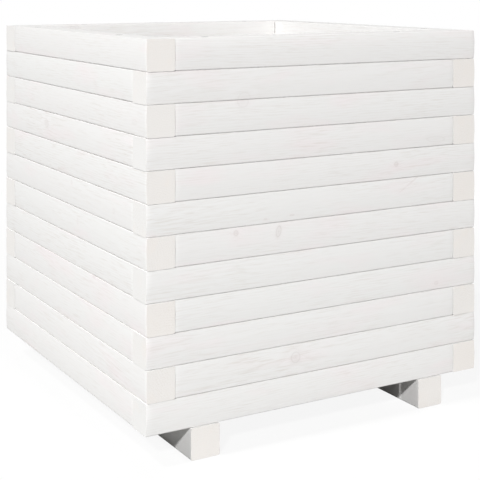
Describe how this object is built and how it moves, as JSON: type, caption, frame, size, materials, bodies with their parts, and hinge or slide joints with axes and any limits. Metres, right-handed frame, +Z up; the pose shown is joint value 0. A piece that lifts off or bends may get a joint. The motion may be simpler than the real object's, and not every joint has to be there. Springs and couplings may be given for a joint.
{
  "type": "planter",
  "caption": "Square planter of stacked, white-washed pine battens lapped at the corners, standing on skids, with a slatted floor that drains.",
  "frame": {"origin": "on the ground, under the centre of the square plan", "axes": "+Z up; the ends of the skids show at the front, towards -Y, and at the back; +X to the right seen from the front"},
  "size_m": [0.5, 0.5, 0.5051],
  "materials": {
    "whitewashed_pine": "matt white wash",
    "zinc_plated_steel": "dull zinc"
  },
  "bodies": {
    "root": {"course_01_front": "whitewashed_pine", "course_01_right": "whitewashed_pine", "course_01_back": "whitewashed_pine", "course_01_left": "whitewashed_pine", "course_02_front": "whitewashed_pine", "course_02_right": "whitewashed_pine", "course_02_back": "whitewashed_pine", "course_02_left": "whitewashed_pine", "course_03_front": "whitewashed_pine", "course_03_right": "whitewashed_pine", "course_03_back": "whitewashed_pine", "course_03_left": "whitewashed_pine", "course_04_front": "whitewashed_pine", "course_04_right": "whitewashed_pine", "course_04_back": "whitewashed_pine", "course_04_left": "whitewashed_pine", "course_05_front": "whitewashed_pine", "course_05_right": "whitewashed_pine", "course_05_back": "whitewashed_pine", "course_05_left": "whitewashed_pine", "course_06_front": "whitewashed_pine", "course_06_right": "whitewashed_pine", "course_06_back": "whitewashed_pine", "course_06_left": "whitewashed_pine", "course_07_front": "whitewashed_pine", "course_07_right": "whitewashed_pine", "course_07_back": "whitewashed_pine", "course_07_left": "whitewashed_pine", "course_08_front": "whitewashed_pine", "course_08_right": "whitewashed_pine", "course_08_back": "whitewashed_pine", "course_08_left": "whitewashed_pine", "course_09_front": "whitewashed_pine", "course_09_right": "whitewashed_pine", "course_09_back": "whitewashed_pine", "course_09_left": "whitewashed_pine", "course_10_front": "whitewashed_pine", "course_10_right": "whitewashed_pine", "course_10_back": "whitewashed_pine", "course_10_left": "whitewashed_pine", "course_11_front": "whitewashed_pine", "course_11_right": "whitewashed_pine", "course_11_back": "whitewashed_pine", "course_11_left": "whitewashed_pine", "course_12_front": "whitewashed_pine", "course_12_right": "whitewashed_pine", "course_12_back": "whitewashed_pine", "course_12_left": "whitewashed_pine", "left_skid": "whitewashed_pine", "right_skid": "whitewashed_pine", "floor_board_1": "whitewashed_pine", "floor_board_2": "whitewashed_pine", "floor_board_3": "whitewashed_pine", "floor_board_4": "whitewashed_pine", "floor_board_5": "whitewashed_pine", "rim_screws": "zinc_plated_steel", "course_screws": "zinc_plated_steel", "skid_screws": "zinc_plated_steel", "floor_screws": "zinc_plated_steel"}
  },
  "joints": []
}
